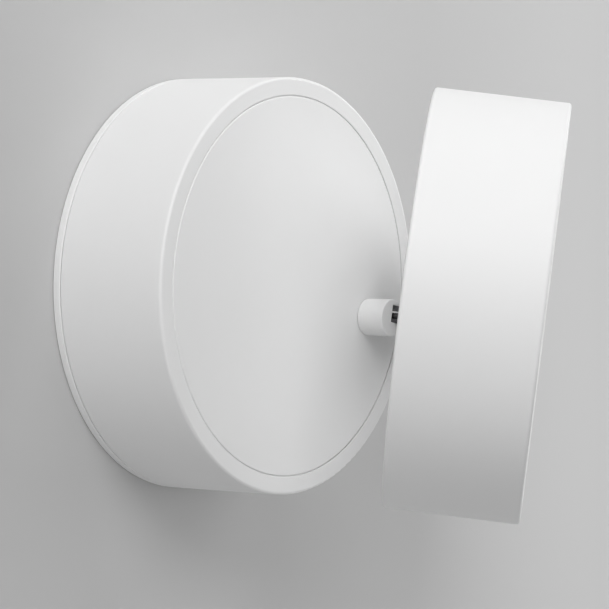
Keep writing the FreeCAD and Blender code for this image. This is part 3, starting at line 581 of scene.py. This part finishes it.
def makeBead(size):
    rings = []
    for i in range(size["steps"]):
        turn = 2 * math.pi * i / size["steps"]
        openSide = max(0.0, math.cos(turn - math.radians(size["openAt"]))) ** 2
        top = size["front"] - size["shallow"] - (size["deep"] - size["shallow"]) * openSide
        inner, outer, low = size["inner"], size["outer"], size["low"]
        section = ((inner, low), (outer, low), (outer, top), (inner, top))
        rings.append(ringAround(section, turn, onWall))
    rings.append(rings[0])
    mesh = loftRings("discBead", rings, finishes["white_paint"], closeEnds=False)
    addPiece("discBead", mesh, "base")


makeBead(bead)
print("disc bead made")


# the cable grommet, with three pressing grooves in its back and a soft lip for the cable

grommet = {
    # radius and height of its section in millimetres: the back with its grooves, the flange, the lip
    "section": ((4.0, 0.15), (4.15, 0), (5.2, 0), (5.35, 0.35), (5.95, 0.35), (6.1, 0), (7.2, 0),
                (7.35, 0.35), (7.95, 0.35), (8.1, 0), (9.2, 0), (9.35, 0.35), (9.95, 0.35), (10.1, 0),
                (11.8, 0), (12, 0.2), (12, 0.85), (11.85, 1.0), (8.95, 1.0), (8.95, 2.5), (11.9, 2.5),
                (12, 2.6), (12, 3.4), (11.88, 3.86), (11.56, 4.18), (11.1, 4.3), (7.0, 4.3),
                (6.55, 4.5), (5.42, 7.62), (5.25, 7.88), (4.95, 8.0), (4.2, 8.0), (4.0, 7.8)),
    "sides": 96,
}


def makeGrommet(size):
    section = [(radius / 1000, height / 1000) for radius, height in size["section"]]
    sides = size["sides"]
    rings = [ringAround(section, 2 * math.pi * i / sides, onWall) for i in range(sides)]
    rings.append(rings[0])
    mesh = loftRings("cableGrommet", rings, finishes["grey_rubber"], closeEnds=False)
    addPiece("cableGrommet", mesh, "base", ["cable_grommet"])


makeGrommet(grommet)
print("cable grommet made")


# the LED chips: white packages with a round phosphor window, in three rings on the board

chips = {
    "Ring radius 1": 0.010, "Ring count 1": 6,
    "Ring radius 2": 0.018, "Ring count 2": 12,
    "Ring radius 3": 0.029, "Ring count 3": 18,
    "Chip length": 0.0028, "Chip width": 0.0035, "Chip height": 0.0007,
    "Window radius": 0.00115, "Window crown": 0.00012,
}
windowSides, windowTop = 16, 0.55  # the window's corners, and its top's share of its radius
boardTop = 0.0169  # the LED board's front face, above the head's back


def chipTree(sizes):
    tree, start, end = makeTree("ledChipRings", sizes)
    links, given = tree.links, start.outputs
    package = tree.nodes.new("GeometryNodeMeshCube")
    size = combine(tree, given["Chip length"], given["Chip width"], given["Chip height"])
    links.new(size, package.inputs["Size"])
    middle = calculate(tree, "MULTIPLY", given["Chip height"], 0.5)
    window = tree.nodes.new("GeometryNodeMeshCone")
    window.inputs["Vertices"].default_value = windowSides
    links.new(given["Window radius"], window.inputs["Radius Bottom"])
    links.new(calculate(tree, "MULTIPLY", given["Window radius"], windowTop), window.inputs["Radius Top"])
    links.new(given["Window crown"], window.inputs["Depth"])
    rings = []
    for i in (1, 2, 3):
        circle = tree.nodes.new("GeometryNodeMeshCircle")
        links.new(given["Ring count %d" % i], circle.inputs["Vertices"])
        links.new(given["Ring radius %d" % i], circle.inputs["Radius"])
        halfStep = tree.nodes.new("GeometryNodeTransform")
        links.new(circle.outputs["Mesh"], halfStep.inputs["Geometry"])
        halfTurn = calculate(tree, "DIVIDE", math.pi, given["Ring count %d" % i])
        links.new(combine(tree, z=halfTurn), halfStep.inputs["Rotation"])
        rings.append(halfStep.outputs["Geometry"])
    places = joined(tree, rings)
    position = tree.nodes.new("GeometryNodeInputPosition")
    outward = tree.nodes.new("FunctionNodeAlignRotationToVector")
    outward.axis = "X"
    outward.pivot_axis = "Z"
    links.new(position.outputs["Position"], outward.inputs["Vector"])
    shapes = ((package, middle, "white_plastic"), (window, given["Chip height"], "led_phosphor"))
    parts = []
    for shape, height, material in shapes:
        onPlaces = tree.nodes.new("GeometryNodeInstanceOnPoints")
        links.new(places, onPlaces.inputs["Points"])
        links.new(moved(tree, shape.outputs["Mesh"], height), onPlaces.inputs["Instance"])
        links.new(outward.outputs["Rotation"], onPlaces.inputs["Rotation"])
        realize = tree.nodes.new("GeometryNodeRealizeInstances")
        links.new(onPlaces.outputs["Instances"], realize.inputs["Geometry"])
        parts.append(withMaterial(tree, realize.outputs["Geometry"], finishes[material]))
    links.new(joined(tree, parts), end.inputs["Geometry"])
    return tree


chipMesh = bake("ledChips", chipTree(chips), chips, inHead @ Matrix.Translation((0, 0, boardTop)))
addPiece("ledChips", chipMesh, "head", ["led_chips"])
print("LED chips made:", len(chipMesh.polygons), "faces")


# the stage: a pale wall behind the light with painted light and shade ramped across it, and soft lamps

wall = {
    "half": 2.2,
    "behind": 0.0002,
    "opening": 0.054,     # a hole that the wall plate hides, so that the plate's back can be seen from behind
    "left": (0.55, 0.55, 0.55),    # painted shade on the wall left of the light, painted light further right, standing in for the lamps' falloff and the soft shadow left of the light
    "right": (0.72, 0.72, 0.72),
    "paintedLightRampFrom": -0.075,
    "paintedLightRampTo": 0.19,
    "roughness": 0.85, "specular": 0.3,
    "roller": 240.0, "rollerHeight": 0.00004,   # the paint roller's marks
    "corners": 64,
}
lamps = {
    # name: (place, watts)
    "leftHigh": ((-1.06, -1.06, 1.17), 18.0),
    "left": ((-1.34, -1.34, 0.17), 4.9),
    "leftLow": ((-1.10, -1.10, -1.09), 4.1),
    "farLeftLow": ((-1.53, -0.27, -1.09), 3.6),
    "overhead": ((0.0, -0.71, 1.76), 9.5),
    "rightHigh": ((1.30, -0.75, 1.17), 8.6),
    "right": ((1.88, -0.27, 0.17), 16.5),
    "rightLow": ((1.55, -0.25, -1.09), 9.5),
    "behind": ((0.4, 1.60, 0.5), 22.0),   # lights the plate's back through the hole alone
}
lampSide = 1.0
lampAim = Vector((0, -0.05, 0))
world = {"colour": (1, 1, 1), "strength": 0.10, "seen": (0.86, 0.86, 0.86)}


def makeWall(size):
    ring, half, opening = size["corners"], size["half"], size["opening"]
    outer, inner = [], []
    for i in range(ring):
        turn = 2 * math.pi * i / ring
        across, up = math.cos(turn), math.sin(turn)
        reach = half / max(abs(across), abs(up))
        outer.append((across * reach, size["behind"], up * reach))
        inner.append((across * opening, size["behind"], up * opening))
    faces = [(i, (i + 1) % ring, ring + (i + 1) % ring, ring + i) for i in range(ring)]
    mesh = bpy.data.meshes.new("wallBackdrop")
    mesh.from_pydata(outer + inner, [], faces)
    mesh.update()
    backdrop = bpy.data.objects.new("wallBackdrop", mesh)
    scene.collection.objects.link(backdrop)
    material, nodes, links, shader = newMaterial("wallPaintWithPaintedLight")
    shader.inputs["Roughness"].default_value = size["roughness"]
    shader.inputs["Specular IOR Level"].default_value = size["specular"]
    place = nodes.new("ShaderNodeTexCoord")
    across = nodes.new("ShaderNodeSeparateXYZ")
    # painted light and shade: the wall's colour ramps from dark on the left to light on the right, in place of the
    # lamps' falloff
    paintedLightRamp = nodes.new("ShaderNodeMapRange")
    paintedLightRamp.inputs["From Min"].default_value = size["paintedLightRampFrom"]
    paintedLightRamp.inputs["From Max"].default_value = size["paintedLightRampTo"]
    links.new(place.outputs["Object"], across.inputs["Vector"])
    links.new(across.outputs["X"], paintedLightRamp.inputs["Value"])
    colour = blendColours(nodes, links, paintedLightRamp.outputs["Result"], size["left"], size["right"])
    links.new(colour, shader.inputs["Base Color"])
    roller = objectNoise(nodes, links, size["roller"], 3.0)
    addBump(nodes, links, shader, roller.outputs["Fac"], size["rollerHeight"])
    # from behind, the wall is clear to the camera, so that the light's back can be looked at
    clear = nodes.new("ShaderNodeBsdfTransparent")
    choose = nodes.new("ShaderNodeMixShader")
    side = nodes.new("ShaderNodeNewGeometry")
    links.new(side.outputs["Backfacing"], choose.inputs["Fac"])
    links.new(shader.outputs["BSDF"], choose.inputs[1])
    links.new(clear.outputs["BSDF"], choose.inputs[2])
    links.new(choose.outputs["Shader"], nodes["Material Output"].inputs["Surface"])
    mesh.materials.append(material)


def makeLamp(name, place, watts):
    data = bpy.data.lights.new(name, "AREA")
    data.shape = "RECTANGLE"
    data.size = lampSide
    data.size_y = lampSide
    data.energy = watts
    lamp = bpy.data.objects.new(name, data)
    scene.collection.objects.link(lamp)
    lamp.location = place
    lamp.rotation_euler = (lampAim - Vector(place)).to_track_quat("-Z", "Y").to_euler()


def makeWorld(look):
    sky = bpy.data.worlds.new("studio")
    scene.world = sky
    sky.use_nodes = True
    nodes, links = sky.node_tree.nodes, sky.node_tree.links
    ambient = nodes["Background"]
    ambient.inputs["Color"].default_value = (*look["colour"], 1)
    ambient.inputs["Strength"].default_value = look["strength"]
    seen = nodes.new("ShaderNodeBackground")
    seen.inputs["Color"].default_value = (*look["seen"], 1)
    path = nodes.new("ShaderNodeLightPath")
    mix = nodes.new("ShaderNodeMixShader")
    links.new(path.outputs["Is Camera Ray"], mix.inputs["Fac"])
    links.new(ambient.outputs["Background"], mix.inputs[1])
    links.new(seen.outputs["Background"], mix.inputs[2])
    links.new(mix.outputs["Shader"], nodes["World Output"].inputs["Surface"])


makeWall(wall)
for lampName, setting in lamps.items():
    makeLamp(lampName, *setting)
makeWorld(world)
scene.view_settings.view_transform = "Standard"
print("stage and lamps set")
